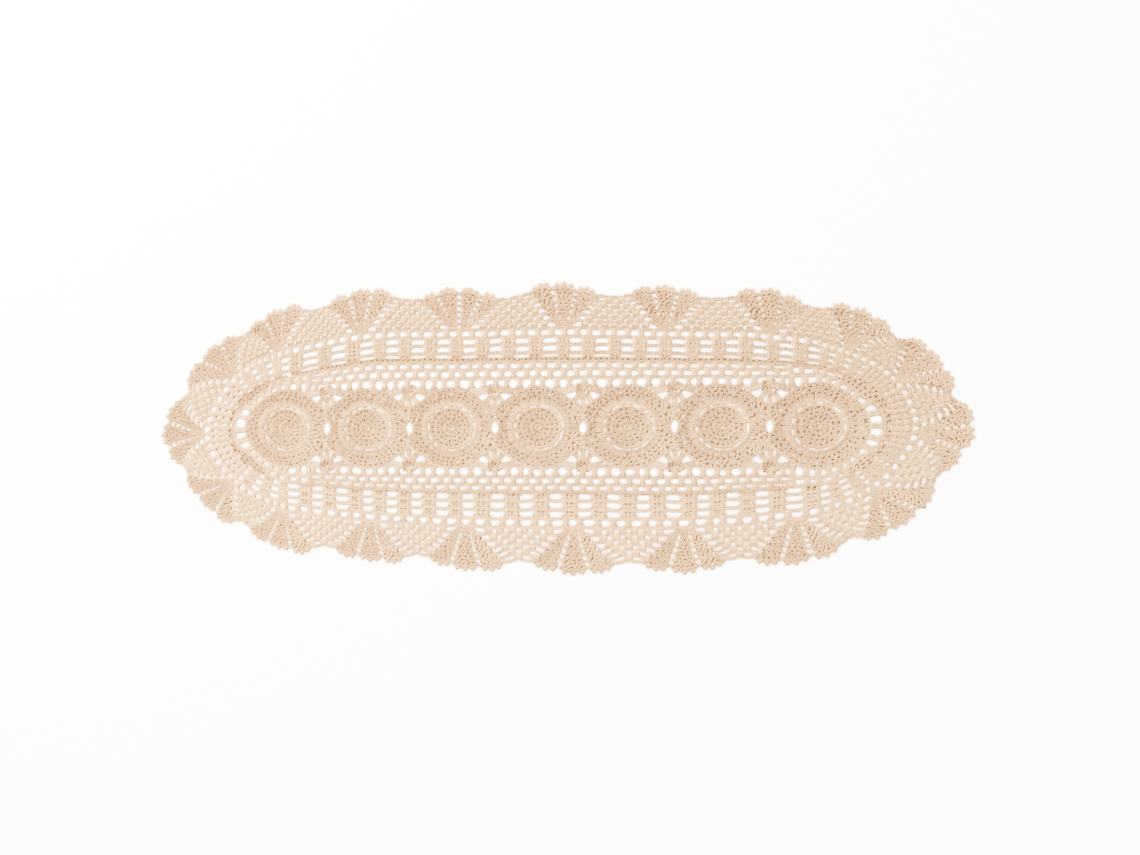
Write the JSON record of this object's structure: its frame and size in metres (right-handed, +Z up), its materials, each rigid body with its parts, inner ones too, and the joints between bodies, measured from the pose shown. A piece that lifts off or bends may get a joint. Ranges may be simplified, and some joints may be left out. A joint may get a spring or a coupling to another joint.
{
  "type": "crochet table runner",
  "caption": "Flat openwork table runner: a row of round crochet motifs in a wide net and block border with a scalloped, picot-tipped edge.",
  "frame": {"origin": "under the centre of the middle round motif, on the face that rests on the table", "axes": "+X along the row of round motifs, towards the picture's right; +Y across the runner, towards the picture's top; +Z up from the table"},
  "size_m": [0.8994, 0.3183, 0.0022],
  "materials": {
    "cotton_yarn": "matt warm beige crochet cotton with a slight sheen"
  },
  "bodies": {
    "root": {"medallion_1": "cotton_yarn", "medallion_2": "cotton_yarn", "medallion_3": "cotton_yarn", "medallion_4": "cotton_yarn", "medallion_5": "cotton_yarn", "medallion_6": "cotton_yarn", "medallion_7": "cotton_yarn", "filler_top_1": "cotton_yarn", "filler_top_2": "cotton_yarn", "filler_top_3": "cotton_yarn", "filler_top_4": "cotton_yarn", "filler_top_5": "cotton_yarn", "filler_top_6": "cotton_yarn", "filler_bottom_1": "cotton_yarn", "filler_bottom_2": "cotton_yarn", "filler_bottom_3": "cotton_yarn", "filler_bottom_4": "cotton_yarn", "filler_bottom_5": "cotton_yarn", "filler_bottom_6": "cotton_yarn", "border": "cotton_yarn"}
  },
  "joints": []
}
